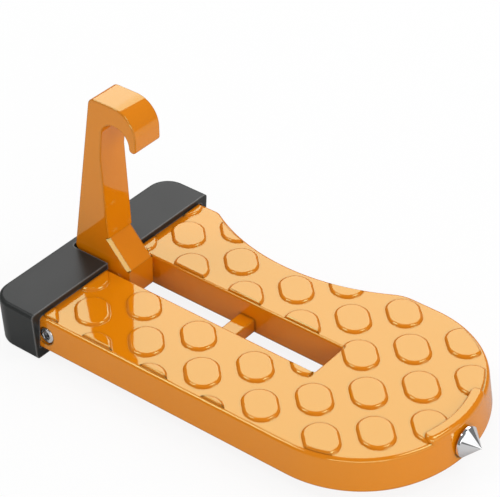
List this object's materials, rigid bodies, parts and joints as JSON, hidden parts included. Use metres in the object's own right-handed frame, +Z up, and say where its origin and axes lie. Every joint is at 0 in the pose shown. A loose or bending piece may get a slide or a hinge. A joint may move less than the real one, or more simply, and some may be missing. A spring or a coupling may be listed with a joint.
{
  "type": "car door latch step",
  "caption": "Studded cast pedal plate with a rubber wall bumper, a fold-down hook that hangs on a door striker, and a pointed hammer tip.",
  "frame": {"origin": "bottom centre of the overall box, under the middle of the step at the height of the bumper's underside", "axes": "+Y runs from the rubber bumper to the hammer tip, +Z is up towards the hook's crown, +X is the straight side with the screw's head"},
  "size_m": [0.0984, 0.1796, 0.0885],
  "materials": {
    "orange_enamel": "gloss orange enamel on cast aluminium",
    "black_rubber": "satin moulded rubber",
    "zinc_steel": "bright zinc",
    "chrome": "polished chrome"
  },
  "bodies": {
    "step": {"step_plate": "orange_enamel", "wall_bumper": "black_rubber", "pivot_screw": "zinc_steel", "pivot_nut": "zinc_steel", "washer_right": "zinc_steel", "washer_left": "zinc_steel", "hammer_tip": "chrome"},
    "hook": {"latch_hook": "orange_enamel"}
  },
  "joints": [
    {"name": "hook_fold", "type": "hinge", "parent": "step", "child": "hook", "pos_m": [0, -0.0658, 0.0106], "axis": [-1, 0, 0], "range_deg": [0, 95]}
  ]
}
